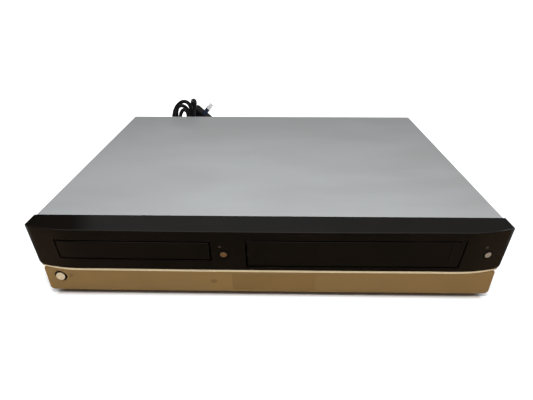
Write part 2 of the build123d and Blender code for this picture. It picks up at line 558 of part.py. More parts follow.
HL, HR = DL + 3.2, DR - 3.2
with BuildPart() as cassette_holder:
    block(HL, HR, -140.8, -76, 72.2, 73.2)
    block(HL, HL + 1, -140.8, -76, 44.0, 73.2)
    block(HR - 1, HR, -140.8, -76, 44.0, 73.2)
    block(HL, HL + 15, -140.8, -76, 44.0, 45.0)
    block(HR - 15, HR, -140.8, -76, 44.0, 45.0)
    for x0 in (DECK_X - 73, DECK_X - 19, DECK_X + 35):
        block(x0, x0 + 38, -127, -89, 71, 74, Mode.SUBTRACT)
    for y in (-130.0, -86.0):
        rod((HL - 1.8, y, 60.0), 1.95, 1.9, "x")
        rod((HR - 0.1, y, 60.0), 1.95, 1.9, "x")
save(cassette_holder, "cassette_holder")

DRUM = (DECK_X, 10.0)
with BuildPart() as lower_drum:
    rod((DRUM[0], DRUM[1], 16.2), 31.0, 13.0, "z")
    rod((DRUM[0], DRUM[1], 26.2), 28.0, 4, "z", Mode.SUBTRACT)
    rod((DRUM[0], DRUM[1], 16.0), 3.06, 12, "z", Mode.SUBTRACT)
    # inclined guide posts and their base on both sides of the drum
    for sx in (-1, 1):
        block(DRUM[0] + sx * 42 - 6, DRUM[0] + sx * 42 + 6, -22, -8, 16.2, 18.6)
        rod((DRUM[0] + sx * 42, -15, 18.5), 2.6, 24, "z")
        block(DRUM[0] + min(sx * 26, sx * 42), DRUM[0] + max(sx * 26, sx * 42), -12, -4, 16.2, 18.2)
save(lower_drum, "lower_drum")

with BuildPart() as head_drum:
    rod((DRUM[0], DRUM[1], 29.6), 31.0, 15.0, "z")
    rod((DRUM[0], DRUM[1], 17.0), 3.0, 13, "z")
    rod((DRUM[0], DRUM[1], 42.0), 24.0, 3.0, "z", Mode.SUBTRACT)
    rod((DRUM[0], DRUM[1], 41.9), 9.0, 6.0, "z")
    with Locations((DRUM[0], DRUM[1], 30.4)):
        with PolarLocations(31.0, 4):
            Box(3.0, 4.0, 1.8, mode=Mode.SUBTRACT)
save(head_drum, "head_drum")

with BuildPart() as capstan_flywheel:
    rod((DECK_X + 66, -14, 7.6), 18.0, 5.6, "z")
    rod((DECK_X + 66, -14, 9.6), 13.0, 5.0, "z", Mode.SUBTRACT)
    rod((DECK_X + 66, -14, 8.0), 1.5, 33.0, "z")
save(capstan_flywheel, "capstan_flywheel")

for name, sx in (("supply_reel", -1), ("takeup_reel", 1)):
    with BuildPart() as reel:
        x = DECK_X + sx * 46
        rod((x, -84, 16.5), 14.0, 3.0, "z")
        rod((x, -84, 19.4), 4.6, 9.0, "z")
        rod((x, -84, 12.0), 1.5, 5.0, "z")
        with Locations((x, -84, 23.5)):
            with PolarLocations(4.6, 6):
                Box(2.0, 1.2, 7.0)
        chamfer(reel.faces().sort_by(Axis.Z)[-1].edges().filter_by(GeomType.CIRCLE), 0.5)
    save(reel, name)

# ---------------------------------------------------------------- electronics
with BuildPart() as main_board:
    block(-18, 204, 60, 146, 12.0, 13.6)
    for x, y, w, d, h in ((40, 100, 28, 28, 3.2), (92, 108, 20, 20, 2.6), (140, 92, 24, 14, 3),
                          (6, 84, 16, 22, 3), (150, 128, 12, 18, 9), (20, 128, 30, 8, 10)):
        block(x - w / 2, x + w / 2, y - d / 2, y + d / 2, 13.5, 13.6 + h)
    for x, y in ((70, 74), (84, 74), (110, 76), (120, 134), (60, 132), (188, 74), (-8, 120)):
        rod((x, y, 13.5), 4.0, 12.0, "z")
save(main_board, "main_board")

with BuildPart() as power_board:
    block(-205, -58, 16, 148, 12.0, 13.6)
    rod((-186, 46, 13.5), 15.0, 32.0, "z")
    for x, y, r, h in ((-100, 36, 6, 22), (-84, 36, 6, 22), (-70, 52, 5, 18), (-72, 90, 5, 16),
                       (-168, 128, 7, 16)):
        rod((x, y, 13.5), r, h, "z")
    block(-200, -178, 100, 122, 13.5, 30)
save(power_board, "power_board")

with BuildPart() as power_transformer:
    block(-152, -118, 76, 108, 13.6, 44.0)
    block(-157, -113, 84, 100, 19.0, 38.0)
save(power_transformer, "power_transformer")

with BuildPart() as heat_sink:
    block(-148, -108, 52, 54.4, 13.6, 52)
    with Locations((-128, 58.2, 32.8)):
        with GridLocations(5.4, 1, 8, 1):
            Box(1.4, 8.0, 38.4)
save(heat_sink, "heat_sink")

with BuildPart() as tuner_can:
    block(176, 198, 100, PANEL_Y, 18.0, 70.0)
    for x, z in RF:
        rod((x, PANEL_Y - 0.5, z), 5.0, 6.0, "y")
        rod((x, PANEL_Y + 5, z), 4.1, 8.8, "y")
    rod((RF[0][0], PANEL_Y + 6, RF[0][1]), 2.9, 9, "y", Mode.SUBTRACT)
    for z in (24.0, 64.0):
        block(184, 190, PANEL_Y - 40, PANEL_Y - 20, 13.6, 18.1)
save(tuner_can, "tuner_can")

with BuildPart() as scart_sockets:
    for x, z in SCART:
        block(x - 24.3, x + 24.3, 150, PANEL_Y + 9.5, z - 8.3, z + 8.3)
        block(x - 27, x + 27, PANEL_Y + SHEET, PANEL_Y + SHEET + 1.4, z - 10.4, z + 10.4)
        with BuildSketch(Plane.XZ.offset(-(PANEL_Y + 9.5))) as ring:
            with Locations((x, z)):
                Rectangle(45.2, 13.4)
                Rectangle(41.4, 9.6, mode=Mode.SUBTRACT)
        extrude(amount=8, mode=Mode.SUBTRACT)
        with BuildSketch(Plane.XZ.offset(-(PANEL_Y + 9.5))) as slots:
            with Locations((x, z)):
                with GridLocations(3.8, 4.4, 10, 2):
                    Rectangle(0.9, 2.6)
        extrude(amount=6, mode=Mode.SUBTRACT)
save(scart_sockets, "scart_sockets")

with BuildPart() as av_output_jacks:
    block(54, 140, 150.5, PANEL_Y, 24.5, 63.5)
    for x, z in RCA:
        rod((x, PANEL_Y - 0.5, z), 4.9, 2.5, "y")
        rod((x, PANEL_Y + 1.5, z), 4.15, 8.5, "y")
        rod((x, PANEL_Y + 1.0, z), 3.2, 10, "y", Mode.SUBTRACT)
        rod((x, PANEL_Y + 0.5, z), 2.3, 8.0, "y")
        rod((x, PANEL_Y + 1.0, z), 1.6, 9, "y", Mode.SUBTRACT)
    rod((SVIDEO[0], PANEL_Y - 0.5, SVIDEO[1]), 5.4, 3.0, "y")
    rod((SVIDEO[0], PANEL_Y - 3.0, SVIDEO[1]), 4.3, 8, "y", Mode.SUBTRACT)
    x, z = OPTICAL
    block(x - 4.7, x + 4.7, PANEL_Y - 0.5, PANEL_Y + 2.0, z - 4.7, z + 4.7)
    block(x - 3.0, x + 3.0, PANEL_Y - 2.0, PANEL_Y + 3.0, z - 3.0, z + 3.0, Mode.SUBTRACT)
save(av_output_jacks, "av_output_jacks")

with BuildPart() as fan_frame:
    block(FAN[0] - 20, FAN[0] + 20, 150.4, PANEL_Y, FAN[1] - 20, FAN[1] + 20)
    fillet(fan_frame.edges().filter_by(Axis.Y), 2.5)
    rod((FAN[0], 149, FAN[1]), 18.6, 14, "y", Mode.SUBTRACT)
    rod((FAN[0], 150.4, FAN[1]), 9.5, 1.6, "y")
    block(FAN[0] - 19.5, FAN[0] + 19.5, 150.4, 151.8, FAN[1] - 1.6, FAN[1] + 1.6)
    block(FAN[0] - 1.6, FAN[0] + 1.6, 150.4, 151.8, FAN[1] - 19.5, FAN[1] + 19.5)
    rod((FAN[0], 150, FAN[1]), 1.54, 3, "y", Mode.SUBTRACT)
save(fan_frame, "fan_frame")

with BuildPart() as fan_rotor:
    rod((FAN[0], 152.4, FAN[1]), 9.0, 7.4, "y")
    rod((FAN[0], 150.6, FAN[1]), 1.5, 2.0, "y")
    for k in range(7):
        a = 360.0 / 7 * k
        with Locations(Location((FAN[0], 156.0, FAN[1]), (0, a, 0))):
            with Locations(Location((13.2, 0, 0), (35, 0, 0))):
                Box(9.2, 1.1, 7.6)
save(fan_rotor, "fan_rotor")

# ---------------------------------------------------------------- mains lead
with BuildPart() as strain_relief:
    rod((EXIT[0], PANEL_Y - 3, EXIT[1]), 4.6, 6, "y")
    rod((EXIT[0], PANEL_Y + SHEET, EXIT[1]), 6.6, 2.2, "y")
    with BuildSketch(Plane.XZ.offset(-(PANEL_Y + 3))):
        with Locations(EXIT):
            Circle(4.9)
    extrude(amount=-18.0, taper=3.2)
    # flexing ribs
    for k in range(6):
        with BuildSketch(Plane.XZ.offset(-(PANEL_Y + 6.0 + 2.4 * k))):
            with Locations(EXIT):
                Circle(5.3 - 0.13 * k)
        extrude(amount=-1.1)
save(strain_relief, "strain_relief")

# the free stretch: runs joined by tangent arcs, each as large as its runs allow
LEAD = [(-188.0, 182.0, 18.0), (-188.0, 195.0, 17.2), (-183.0, 207.0, 14.6),
        (-173.8, 216.2, 10.6), (-161.8, 221.1, 6.6), (-150.0, 221.4, 3.8)]


def corner_radii(points):
    radii = []
    for a, b, c in zip(points, points[1:], points[2:]):
        u, v = Vector(*b) - Vector(*a), Vector(*c) - Vector(*b)
        half = math.radians(u.get_angle(v)) / 2
        radii.append(0.45 * min(u.length, v.length) / math.tan(half))
    return radii


LEAD_R = corner_radii(LEAD)
print("lead radii", [round(r, 1) for r in LEAD_R])
with BuildPart() as cord_lead:
    with BuildLine() as route:
        FilletPolyline(*LEAD, radius=LEAD_R)
    with BuildSketch(Plane(origin=LEAD[0], z_dir=Vector(*LEAD[1]) - Vector(*LEAD[0]))):
        Circle(CORD_D / 2)
    sweep()
LEAD_LEN = sum(e.length for e in route.line.edges())
print("lead length", round(LEAD_LEN, 1), "volume ratio",
      round(cord_lead.part.volume / (math.pi * CORD_D ** 2 / 4 * LEAD_LEN), 4))
save(cord_lead, "cord_lead")

# flat-pin plug leaning behind the hank, pins up to the right
PLUG = (-110.2, 207.0, 75.8)
TILT = 47.1                      # pins above the horizontal
N = Vector(math.cos(math.radians(TILT)), 0, math.sin(math.radians(TILT)))
PLANE_PLUG = Plane(origin=PLUG, x_dir=(math.sin(math.radians(TILT)), 0, -math.cos(math.radians(TILT))),
                   z_dir=(N.X, N.Y, N.Z))
with BuildPart() as plug_body:
    with BuildSketch(PLANE_PLUG):
        RectangleRounded(34, 24, 5)
    with BuildSketch(PLANE_PLUG.offset(-9)):
        RectangleRounded(33, 23, 5)
    loft()
    with BuildSketch(PLANE_PLUG.offset(-9)):
        RectangleRounded(33, 23, 5)
    with BuildSketch(PLANE_PLUG.offset(-29)):
        RectangleRounded(16, 13, 5)
    loft()
    fillet(plug_body.edges().filter_by(lambda e: abs(PLANE_PLUG.to_local_coords(e.center()).Z) < 0.01), 1.6)
    with BuildSketch(PLANE_PLUG.offset(-28.5)):
        Circle(5.0)
    extrude(amount=-21.5, taper=3.4)
    # raised thumb ribs on the two broad sides and rings on the guard
    for k in range(4):
        with BuildSketch(PLANE_PLUG.offset(-33.0 - 4.0 * k)):
            Circle(5.35 - 0.24 * k)
        extrude(amount=-1.8)
save(plug_body, "plug_body")

with BuildPart() as plug_pins:
    for y in (-6.35, 6.35):
        with BuildSketch(PLANE_PLUG):
            with Locations((0, y)):
                Rectangle(6.3, 1.6)
        extrude(amount=17.6)
    chamfer(plug_pins.edges().filter_by(
        lambda e: abs(PLANE_PLUG.to_local_coords(e.center()).Z - 17.6) < 0.01), 0.5)
save(plug_pins, "plug_pins")

# the folded length: an upright hank behind the case whose tails lie on the floor
with BuildPart() as cord_hank:
    with BuildSketch(Plane.XZ.offset(-165.0)) as s:
        with Locations((-137.75, 52.2)):
            RectangleRounded(41.5, 104.4, 20.0)
        with Locations((-139.0, 56.0)):
            RectangleRounded(12.0, 62.0, 5.9, mode=Mode.SUBTRACT)
    extrude(amount=-20.0)
    with BuildSketch(Plane.YZ.offset(-129.0)):
        with Locations((180.0, 90.0)):
            RectangleRounded(28.0, 32.0, 13.5)
    extrude(amount=11.5)
    block(-150.0, -112.0, 184.0, 224.4, 0.0, 9.0)
    block(-166.0, -136.0, 184.0, 213.0, 0.0, 40.5)
    add(plug_body.part, mode=Mode.SUBTRACT)
    add(cord_lead.part, mode=Mode.SUBTRACT)
save(cord_hank, "cord_hank")

with BuildPart() as cord_tie:
    block(-159.7, -115.8, 163.8, 186.2, 45.0, 52.0)
    block(-158.5, -117.0, 165.0, 185.0, 44.0, 53.0, Mode.SUBTRACT)
    block(-127.0, -122.0, 186.1, 189.0, 46.0, 51.0)
save(cord_tie, "cord_tie")
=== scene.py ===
import json
import math

import bmesh
import bpy
from mathutils import Matrix, Vector
from mathutils.bvhtree import BVHTree


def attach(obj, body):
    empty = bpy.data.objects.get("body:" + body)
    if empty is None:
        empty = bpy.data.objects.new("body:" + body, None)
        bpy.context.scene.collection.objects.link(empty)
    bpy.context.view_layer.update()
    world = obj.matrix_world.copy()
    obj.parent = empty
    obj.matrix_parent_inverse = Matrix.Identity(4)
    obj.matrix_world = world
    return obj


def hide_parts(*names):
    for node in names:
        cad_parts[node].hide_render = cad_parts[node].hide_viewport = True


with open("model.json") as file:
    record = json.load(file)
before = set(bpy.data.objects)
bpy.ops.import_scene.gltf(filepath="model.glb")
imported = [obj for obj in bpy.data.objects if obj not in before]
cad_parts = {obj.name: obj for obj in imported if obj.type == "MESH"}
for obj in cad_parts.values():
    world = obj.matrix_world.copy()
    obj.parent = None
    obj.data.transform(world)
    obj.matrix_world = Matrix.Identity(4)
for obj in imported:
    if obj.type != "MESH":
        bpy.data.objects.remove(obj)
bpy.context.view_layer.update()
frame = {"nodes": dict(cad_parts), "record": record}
nodes = frame["nodes"]
scene = bpy.context.scene
MM = 0.001


# ---------------------------------------------------------------- camera
def make_camera():
    yaw, pitch, roll = math.radians(1.21), math.radians(27.61), math.radians(0.17)
    fwd = Vector((-math.sin(yaw) * math.cos(pitch), math.cos(yaw) * math.cos(pitch), -math.sin(pitch)))
    right = Vector((math.cos(yaw), math.sin(yaw), 0.0))
    down = fwd.cross(right)
    r2 = math.cos(roll) * right + math.sin(roll) * down
    d2 = -math.sin(roll) * right + math.cos(roll) * down
    cam = bpy.data.cameras.new("camera")
    cam.sensor_width = 36.0
    cam.sensor_fit = "HORIZONTAL"
    cam.lens = 28.78
    cam.clip_start = 0.02
    cam.clip_end = 30.0
    ob = bpy.data.objects.new("camera", cam)
    scene.collection.objects.link(ob)
    m = Matrix.Identity(4)
    for i, col in enumerate((r2, -d2, -fwd)):
        for j in range(3):
            m[j][i] = col[j]
    m.translation = Vector((0.0062, -0.4838, 0.2745))
    ob.matrix_world = m
    scene.camera = ob


make_camera()
scene.view_settings.view_transform = "Standard"
scene.view_settings.look = "None"
scene.view_settings.exposure = 0.0
scene.view_settings.gamma = 1.0


# ---------------------------------------------------------------- material kit
class Mat:
    """One node material, with the few kinds of detail that the surfaces share."""

    def __init__(self, name, base, rough, metal=0.0, **sockets):
        self.m = bpy.data.materials.new(name)
        self.m.use_nodes = True
        self.nt = self.m.node_tree
        self.b = self.nt.nodes["Principled BSDF"]
        self.b.inputs["Base Color"].default_value = (*base, 1.0)
        self.b.inputs["Roughness"].default_value = rough
        self.b.inputs["Metallic"].default_value = metal
        self.m.diffuse_color = (*base, 1.0)
        for k, v in sockets.items():
            self.b.inputs[k.replace("_", " ")].default_value = v
        self.base = base
        self.rough = rough
        self.height = None
        self.colour = None
        self._co = None

    def node(self, kind, **props):
        n = self.nt.nodes.new(kind)
        for k, v in props.items():
            setattr(n, k, v)
        return n

    def link(self, a, b):
        self.nt.links.new(a, b)

    def coords(self):
        if self._co is None:
            self._co = self.node("ShaderNodeTexCoord").outputs["Object"]
        return self._co

    def mapped(self, scale=(1, 1, 1), rot=(0, 0, 0), loc=(0, 0, 0)):
        mp = self.node("ShaderNodeMapping")
        mp.inputs["Scale"].default_value = scale
        mp.inputs["Rotation"].default_value = rot
        mp.inputs["Location"].default_value = loc
        self.link(self.coords(), mp.inputs["Vector"])
        return mp.outputs["Vector"]

    def noise(self, scale, detail=3.0, rough=0.5, vec=None, distortion=0.0):
        n = self.node("ShaderNodeTexNoise")
        n.inputs["Scale"].default_value = scale
        n.inputs["Detail"].default_value = detail
        n.inputs["Roughness"].default_value = rough
        n.inputs["Distortion"].default_value = distortion
        self.link(vec if vec is not None else self.coords(), n.inputs["Vector"])
        return n.outputs["Fac"]

    def voronoi(self, scale, feature="F1", vec=None, out="Distance", random=1.0):
        n = self.node("ShaderNodeTexVoronoi", feature=feature)
        n.inputs["Scale"].default_value = scale
        n.inputs["Randomness"].default_value = random
        self.link(vec if vec is not None else self.coords(), n.inputs["Vector"])
        return n.outputs[out]

    def ramp(self, fac, stops):
        r = self.node("ShaderNodeValToRGB")
        e = r.color_ramp.elements
        while len(e) > 1:
            e.remove(e[-1])
        e[0].position = stops[0][0]
        e[0].color = (*stops[0][1], 1.0)
        for p, c in stops[1:]:
            x = e.new(p)
            x.color = (*c, 1.0)
        self.link(fac, r.inputs["Fac"])
        return r.outputs["Color"]

    def range(self, value, a, b, c, d):
        n = self.node("ShaderNodeMapRange")
        for k, v in zip(("From Min", "From Max", "To Min", "To Max"), (a, b, c, d)):
            n.inputs[k].default_value = v
        self.link(value, n.inputs["Value"])
        return n.outputs["Result"]

    def mix(self, fac, a, b):
        n = self.node("ShaderNodeMix", data_type="RGBA")
        for sock, v in ((n.inputs[0], fac), (n.inputs[6], a), (n.inputs[7], b)):
            if isinstance(v, (int, float)):
                sock.default_value = v
            elif isinstance(v, tuple):
                sock.default_value = (*v, 1.0)
            else:
                self.link(v, sock)
        return n.outputs[2]

    def paint(self, colour):
        self.link(colour, self.b.inputs["Base Color"])
        return self

    def tint(self, fac, amount, lo=0.35, hi=0.65):
        """Varies the base colour by a share of itself, light to dark."""
        d = tuple(max(0.0, c * (1 - amount)) for c in self.base)
        u = tuple(min(1.0, c * (1 + amount)) for c in self.base)
        return self.paint(self.ramp(fac, [(lo, d), (hi, u)]))

    def shine(self, fac, lo, hi, a=0.3, b=0.7):
        self.link(self.range(fac, a, b, lo, hi), self.b.inputs["Roughness"])
        return self

    def bump(self, height, depth, strength=1.0):
        """depth in metres for a height of 0 to 1"""
        n = self.node("ShaderNodeBump")
        n.inputs["Strength"].default_value = strength
        n.inputs["Distance"].default_value = depth
        self.link(height, n.inputs["Height"])
        last = getattr(self, "_bump", None)
        if last is not None:
            self.link(last.outputs["Normal"], n.inputs["Normal"])
        self._bump = n
        self.link(n.outputs["Normal"], self.b.inputs["Normal"])
        return self


def side_walls(p, ny=-0.6):
    """1 where the object's own surface doesn't face the front, 0 where it does"""
    co = p.node("ShaderNodeTexCoord")
    sep = p.node("ShaderNodeSeparateXYZ")
    p.link(co.outputs["Normal"], sep.inputs[0])
    return p.range(sep.outputs["Y"], ny - 0.12, ny, 0.0, 1.0)


def axis_value(p, axis):
    sep = p.node("ShaderNodeSeparateXYZ")
    p.link(p.coords(), sep.inputs[0])
    return sep.outputs[axis]


def maths(p, kind, a, b):
    n = p.node("ShaderNodeMath", operation=kind)
    for sock, v in zip(n.inputs, (a, b)):
        if isinstance(v, (int, float)):
            sock.default_value = v
        else:
            p.link(v, sock)
    return n.outputs[0]


def round_spot(p, x, z, r0, r1):
    """1 within r0 of an upright round at x, z in metres, falling to 0 at r1"""
    flat = p.node("ShaderNodeCombineXYZ")
    sep = p.node("ShaderNodeSeparateXYZ")
    p.link(p.coords(), sep.inputs[0])
    p.link(sep.outputs["X"], flat.inputs["X"])
    p.link(sep.outputs["Z"], flat.inputs["Z"])
    d = p.node("ShaderNodeVectorMath", operation="DISTANCE")
    d.inputs[1].default_value = (x, 0, z)
    p.link(flat.outputs[0], d.inputs[0])
    return p.range(d.outputs["Value"], r0, r1, 1.0, 0.0)


def lin(r, g, b):
    """display colour 0-255 to linear"""
    def f(c):
        c /= 255.0
        return c / 12.92 if c <= 0.04045 else ((c + 0.055) / 1.055) ** 2.4
    return (f(r), f(g), f(b))


M = {}


def build_materials():
    # satin silver-grey paint of the cover: fine orange peel and a metallic fleck
    p = Mat("cover_paint", lin(156, 158, 159), 0.42, 0.15, Specular_IOR_Level=0.5)
    fleck = p.noise(5200, 2, 0.6)
    cloud = p.noise(7, 3, 0.5, vec=p.mapped((0.8, 1.5, 1.0)), distortion=0.6)
    smear = p.noise(24, 4, 0.6, vec=p.mapped((0.35, 1.6, 1.0), rot=(0, 0, 0.12)), distortion=0.4)
    c = p.ramp(fleck, [(0.3, lin(149, 150, 150)), (0.7, lin(167, 168, 168))])
    c = p.mix(p.range(cloud, 0.38, 0.66, 0.0, 0.34), c, lin(142, 142, 140))
    p.paint(p.mix(p.range(smear, 0.45, 0.75, 0.0, 0.22), c, lin(172, 175, 178)))
    p.shine(smear, 0.38, 0.47)
    p.bump(p.noise(2600, 2, 0.5), 0.00002, 0.5)
    M["cover_paint"] = p.m

    # plated sheet with a faint crystal pattern
    p = Mat("zinc_steel", (0.60, 0.61, 0.62), 0.38, 0.9)
    cell = p.voronoi(150, vec=p.mapped(), out="Color")
    g = p.node("ShaderNodeRGBToBW")
    p.link(cell, g.inputs["Color"])
    p.paint(p.ramp(g.outputs["Val"], [(0.1, (0.52, 0.53, 0.54)), (0.9, (0.68, 0.69, 0.70))]))
    p.shine(g.outputs["Val"], 0.30, 0.46, 0.1, 0.9)
    p.bump(p.noise(900, 3), 0.00002, 0.4)
    M["zinc_steel"] = p.m

    p = Mat("screw_steel", (0.50, 0.50, 0.51), 0.3, 1.0)
    p.tint(p.noise(700, 3), 0.15).shine(p.noise(1500, 2), 0.24, 0.4)
    p.bump(p.noise(3500, 2), 0.00001, 0.5)
    M["screw_steel"] = p.m

    # polished black front: very dark and faintly warm, with hairline wear
    p = Mat("piano_black", lin(11, 8, 5), 0.06, 0.0, Specular_IOR_Level=0.5)
    p.tint(p.noise(30, 4), 0.2)
    hair = p.noise(60, 6, 0.65, vec=p.mapped((1, 1, 14)))
    p.shine(hair, 0.05, 0.12, 0.35, 0.75)
    p.bump(p.noise(3000, 2, 0.5), 0.000004, 0.35)
    M["piano_black"] = p.m

    # the same black where openings and door edges are cut: the cut walls below the top strip are made matt and
    # painted near black, as painted shade in the door gaps and openings
    p = Mat("piano_black_cut", lin(12, 9, 6), 0.06, 0.0, Specular_IOR_Level=0.5)
    hair = p.noise(60, 6, 0.65, vec=p.mapped((1, 1, 14)))
    painted_gap_shade = maths(p, "MULTIPLY", side_walls(p), p.range(axis_value(p, "Z"), 0.0765, 0.0775, 1.0, 0.0))
    c = p.ramp(p.noise(30, 4), [(0.35, lin(10, 8, 5)), (0.65, lin(14, 10, 7))])
    # painted shade: near black on the walls of the gaps
    p.paint(p.mix(painted_gap_shade, c, (0.0004, 0.0004, 0.0004)))
    p.link(maths(p, "MAXIMUM", p.range(hair, 0.35, 0.75, 0.05, 0.12), p.range(painted_gap_shade, 0.0, 1.0, 0.0, 0.95)),
           p.b.inputs["Roughness"])
    p.bump(p.noise(1400, 2, 0.5), 0.000001, 0.2)
    M["piano_black_cut"] = p.m

    p = Mat("champagne_trim", lin(244, 223, 182), 0.24, 0.5)
    p.tint(p.noise(120, 3), 0.05).shine(p.noise(500, 3), 0.15, 0.28)
    p.bump(p.noise(2200, 2), 0.00001, 0.3)
    M["champagne_trim"] = p.m

    # half-mirror champagne panel, smooth, with faint smudges
    p = Mat("gold_mirror", lin(150, 118, 74), 0.22, 0.4, Specular_IOR_Level=0.5)
    smudge = p.noise(13, 3, 0.55, vec=p.mapped((1, 1, 1.8)), distortion=0.5)
    fine = p.noise(4200, 2, 0.6)
    c = p.ramp(fine, [(0.3, lin(146, 116, 72)), (0.7, lin(154, 123, 77))])
    c = p.mix(p.range(smudge, 0.35, 0.7, 0.0, 0.4), c, lin(137, 107, 65))
    # the remote receiver's dark round behind the panel; and round the power button the hole's wall is painted near
    # black and matt, as painted shade in the recess
    c = p.mix(maths(p, "MULTIPLY", round_spot(p, -0.0505, 0.0195, 0.0022, 0.0036), 0.45), c, lin(104, 70, 44))
    painted_hole_shade = maths(p, "MULTIPLY", round_spot(p, -0.1961, 0.0236, 0.0064, 0.0066), side_walls(p))
    p.paint(p.mix(painted_hole_shade, c, (0.004, 0.003, 0.002)))
    p.link(maths(p, "MAXIMUM", p.range(smudge, 0.3, 0.7, 0.18, 0.26), p.range(painted_hole_shade, 0.0, 1.0, 0.0, 0.9)),
           p.b.inputs["Roughness"])
    p.bump(fine, 0.000006, 0.3)
    M["gold_mirror"] = p.m

    p = Mat("smoked_window", lin(140, 110, 67), 0.18, 0.4, Specular_IOR_Level=0.5)
    smudge = p.noise(13, 2, 0.5)
    p.tint(smudge, 0.08).shine(smudge, 0.12, 0.2)
    M["smoked_window"] = p.m

    # press caps: bright turned face; the cap sides and the flange outside the face are painted near black and matt,
    # as painted shade round the cap
    for name, tone, deep in (
        ("silver_button", lin(206, 200, 190), None),
        # painted reflection: the caps share one plated finish; each tone stands for what that cap reflects, brown
        # on the DVD cap and bright on the power cap
        ("power_cap", lin(240, 218, 180), (-0.1961, 0.0236, 0.00405)),
        ("vcr_cap", lin(164, 148, 130), (0.1964, 0.0551, 0.0029)),
        ("dvd_cap", lin(126, 92, 56), (-0.0390, 0.0551, 0.0028)),
    ):
        p = Mat(name, tone, 0.24, 0.45)
        turned = p.noise(500, 3, 0.5)
        lo = tuple(v * 0.94 for v in tone)
        face = p.ramp(turned, [(0.35, lo), (0.65, tone)])
        painted_cap_shade = None
        if deep:
            # painted shade: on the sides and outside the face's radius the cap is near black
            painted_rim_shade = p.range(round_spot(p, deep[0], deep[1], deep[2], deep[2] + 0.00025), 0.0, 1.0, 1.0, 0.0)
            painted_cap_shade = maths(p, "MAXIMUM", side_walls(p, -0.5), painted_rim_shade)
        if painted_cap_shade is not None:
            p.paint(p.mix(painted_cap_shade, face, (0.003, 0.003, 0.003)))
            p.link(p.range(painted_cap_shade, 0.0, 1.0, 0.45, 0.0), p.b.inputs["Metallic"])
            p.link(maths(p, "MAXIMUM", p.range(turned, 0.3, 0.7, 0.2, 0.28), p.range(painted_cap_shade, 0.0, 1.0, 0.0, 0.9)),
                   p.b.inputs["Roughness"])
        else:
            p.paint(face).shine(turned, 0.18, 0.3)
        p.bump(p.noise(1800, 2, 0.5), 0.000002, 0.3)
        M[name] = p.m

    for name, base, rough, grain, deep in (
        ("black_plastic", lin(24, 24, 24), 0.5, 2600, 0.00003),
        ("grey_plastic", lin(96, 97, 100), 0.5, 2600, 0.00003),
        ("tray_plastic", lin(58, 58, 60), 0.42, 2600, 0.00002),
        ("white_plastic", lin(226, 223, 212), 0.45, 1800, 0.00002),
        ("jack_plastic", lin(30, 30, 32), 0.38, 2000, 0.00001),
    ):
        p = Mat(name, base, rough)
        p.tint(p.noise(70, 4, 0.6), 0.14)
        p.shine(p.noise(260, 4), rough - 0.07, rough + 0.1)
        p.bump(p.noise(grain, 3, 0.6), deep, 0.6)
        M[name] = p.m

    p = Mat("display_glass", (0.010, 0.022, 0.020), 0.06, 0.0, Coat_Weight=0.4, Coat_Roughness=0.03)
    grid = p.noise(500, 3, 0.5)
    p.tint(grid, 0.3).shine(p.noise(60, 4), 0.04, 0.1)
    M["display_glass"] = p.m

    p = Mat("rubber_pad", lin(30, 30, 31), 0.78, 0.0, Specular_IOR_Level=0.3)
    p.tint(p.noise(220, 4), 0.25).shine(p.noise(500, 3), 0.68, 0.88)
    p.bump(p.noise(1800, 4, 0.65), 0.00006, 0.6)
    M["rubber_pad"] = p.m

    for name, base, track in (
        ("circuit_board", lin(38, 84, 52), lin(60, 116, 70)),
        ("switch_board", lin(150, 118, 66), lin(176, 146, 92)),
    ):
        p = Mat(name, base, 0.38, 0.0, Coat_Weight=0.25, Coat_Roughness=0.2)
        v1 = p.voronoi(170, "DISTANCE_TO_EDGE", vec=p.mapped(rot=(0, 0, 0.0)), random=0.35)
        v2 = p.voronoi(420, vec=p.mapped(), random=0.2)
        tr = p.ramp(v1, [(0.04, track), (0.07, base)])
        dots = p.ramp(v2, [(0.16, lin(196, 190, 170)), (0.22, (0, 0, 0))])
        mk = p.ramp(v2, [(0.16, (1, 1, 1)), (0.2, (0, 0, 0))])
        g = p.node("ShaderNodeRGBToBW")
        p.link(mk, g.inputs["Color"])
        p.paint(p.mix(g.outputs["Val"], tr, dots))
        p.shine(p.noise(300, 3), 0.3, 0.48)
        p.bump(v1, 0.00004, 0.4)
        M[name] = p.m

    p = Mat("spring_steel", (0.42, 0.41, 0.39), 0.3, 1.0)
    p.tint(p.noise(900, 3), 0.15).shine(p.noise(1200, 3), 0.24, 0.38)
    M["spring_steel"] = p.m

    p = Mat("ground_steel", (0.62, 0.62, 0.62), 0.2, 1.0)
    turn = p.noise(900, 4, 0.6, vec=p.mapped((1, 1, 9)))
    p.tint(turn, 0.1).shine(turn, 0.14, 0.3)
    p.bump(turn, 0.00001, 0.4)
    M["ground_steel"] = p.m

    p = Mat("cast_alloy", (0.40, 0.40, 0.41), 0.5, 0.85)
    p.tint(p.noise(140, 5), 0.18).shine(p.noise(500, 3), 0.42, 0.62)
    p.bump(p.noise(1500, 4, 0.65), 0.00005, 0.6)
    M["cast_alloy"] = p.m

    p = Mat("ferrite_core", lin(66, 64, 62), 0.55, 0.15)
    p.tint(p.noise(380, 5, 0.65), 0.3).shine(p.noise(700, 3), 0.45, 0.7)
    p.bump(p.noise(1400, 4, 0.6), 0.00005, 0.6)
    M["ferrite_core"] = p.m

    p = Mat("anodised", (0.60, 0.61, 0.62), 0.36, 0.95)
    brush = p.noise(260, 5, 0.6, vec=p.mapped((1, 12, 12)))
    p.tint(brush, 0.1).shine(brush, 0.28, 0.44)
    p.bump(brush, 0.00002, 0.35)
    M["anodised"] = p.m

